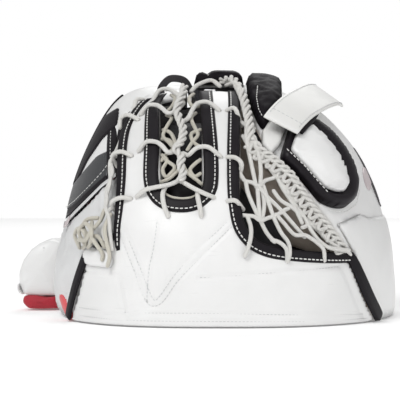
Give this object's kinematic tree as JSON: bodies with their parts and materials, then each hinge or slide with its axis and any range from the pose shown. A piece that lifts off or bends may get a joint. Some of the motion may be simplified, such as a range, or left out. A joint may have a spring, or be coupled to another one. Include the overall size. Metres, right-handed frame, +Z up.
{
  "type": "goalie catch glove",
  "caption": "Ice hockey goalie catch glove lying pocket-down: padded thumb and finger halves joined by a double T web with laced pockets, cuff, backhand pads and straps",
  "frame": {"origin": "Centre of the bounding box in plan, on the plane that the rim rests on.", "axes": "+X from the thumb side to the finger side, +Y from the web to the wrist, +Z up from the pocket mouth to the back of the hand."},
  "size_m": [0.3591, 0.3759, 0.226],
  "materials": {
    "white_leather": "smooth coated synthetic leather",
    "pale_leather": "satin coated synthetic leather",
    "foam": "closed-cell protective foam",
    "insert_plastic": "moulded polyethylene sheet",
    "tan_leather": "soft palm leather",
    "lining_fabric": "brushed knit lining",
    "red_lining": "woven lining",
    "black_leather": "matt coated synthetic leather",
    "grey_mesh": "coated spacer mesh",
    "black_binding": "folded edge binding with white stitching",
    "lace": "waxed braided lace",
    "strap_webbing": "coated strap",
    "hook_and_loop": "hook and loop tape",
    "black_webbing": "woven webbing"
  },
  "bodies": {
    "palm_side": {"finger_shell": "white_leather", "finger_foam": "foam", "finger_insert": "insert_plastic", "finger_lining": "lining_fabric", "finger_facing": "tan_leather", "finger_skirt": "white_leather", "finger_pad_foam": "foam", "finger_pad_border": "black_leather", "finger_pad_face": "white_leather", "palm_panel": "tan_leather", "palm_foam": "foam", "palm_gusset": "tan_leather", "finger_stalls": "lining_fabric", "heel_pad": "white_leather", "heel_binding": "black_binding", "hand_strap_base": "white_leather", "wrist_strap_base": "hook_and_loop"},
    "thumb_side": {"thumb_shell": "white_leather", "thumb_foam": "foam", "thumb_insert": "insert_plastic", "thumb_lining": "red_lining", "thumb_facing": "black_leather", "thumb_stripe_black": "black_leather", "thumb_stripe_grey": "grey_mesh", "thumb_edge_binding": "black_binding", "thumb_guard": "pale_leather", "thumb_guard_foam": "foam", "thumb_guard_lining": "red_lining", "thumb_shelf": "white_leather", "thumb_rim_binding": "red_lining", "thumb_stall": "lining_fabric", "lace_tab": "white_leather", "thumb_laces": "lace", "web_face": "white_leather", "web_stiffener": "insert_plastic", "web_backing": "black_leather", "web_binding_left": "black_binding", "web_binding_center": "black_binding", "web_binding_right": "black_binding", "web_seam_finger": "black_binding", "web_seam_thumb": "black_binding", "net_left": "lace", "net_center": "lace", "net_right": "lace", "finger_edge_lacing": "lace", "stem_laces": "lace", "break_gusset": "black_leather"},
    "cuff": {"cuff_shell": "white_leather", "cuff_foam": "foam", "cuff_lining": "red_lining", "cuff_binding": "black_binding"},
    "backhand": {"backhand_pad_index": "black_leather", "backhand_pad_middle": "black_leather"},
    "hand_strap": {"hand_strap": "strap_webbing", "hand_strap_hook": "hook_and_loop"},
    "wrist_strap": {"wrist_strap": "strap_webbing", "wrist_strap_hook": "hook_and_loop"},
    "pull_loop": {"pull_loop": "black_webbing"}
  },
  "joints": [
    {"name": "glove_break", "type": "hinge", "parent": "palm_side", "child": "thumb_side", "pos_m": [-0.015, 0, 0.15], "axis": [0, -1, 0], "range_deg": [0, 25], "stiffness_Nm_per_rad": 6, "deforming": ["web_face", "web_stiffener", "web_backing", "web_binding_left", "web_binding_center", "web_binding_right", "web_seam_finger", "web_seam_thumb", "net_left", "net_center", "net_right", "finger_edge_lacing", "stem_laces", "break_gusset"]},
    {"name": "cuff_flex", "type": "hinge", "parent": "thumb_side", "child": "cuff", "pos_m": [-0.1254, 0.093, 0.066], "axis": [0.3562, 0.9344, 0], "range_deg": [0, 15], "stiffness_Nm_per_rad": 2},
    {"name": "backhand_lift", "type": "hinge", "parent": "palm_side", "child": "backhand", "pos_m": [0.03, -0.117, 0.176], "axis": [1, 0, 0], "range_deg": [0, 10], "stiffness_Nm_per_rad": 0.5},
    {"name": "hand_strap_peel", "type": "hinge", "parent": "palm_side", "child": "hand_strap", "pos_m": [0.117, 0.0253, 0.2037], "axis": [-0.8065, 0.0999, 0.5827], "range_deg": [0, 100], "stiffness_Nm_per_rad": 0.02},
    {"name": "wrist_strap_peel", "type": "hinge", "parent": "palm_side", "child": "wrist_strap", "pos_m": [0.1511, 0.1334, 0.0505], "axis": [0, 0, -1], "range_deg": [0, 100], "stiffness_Nm_per_rad": 0.02},
    {"name": "pull_loop_flop", "type": "hinge", "parent": "thumb_side", "child": "pull_loop", "pos_m": [-0.027, -0.0185, 0.209], "axis": [-1, 0, 0], "range_deg": [0, 50], "stiffness_Nm_per_rad": 0.005}
  ]
}
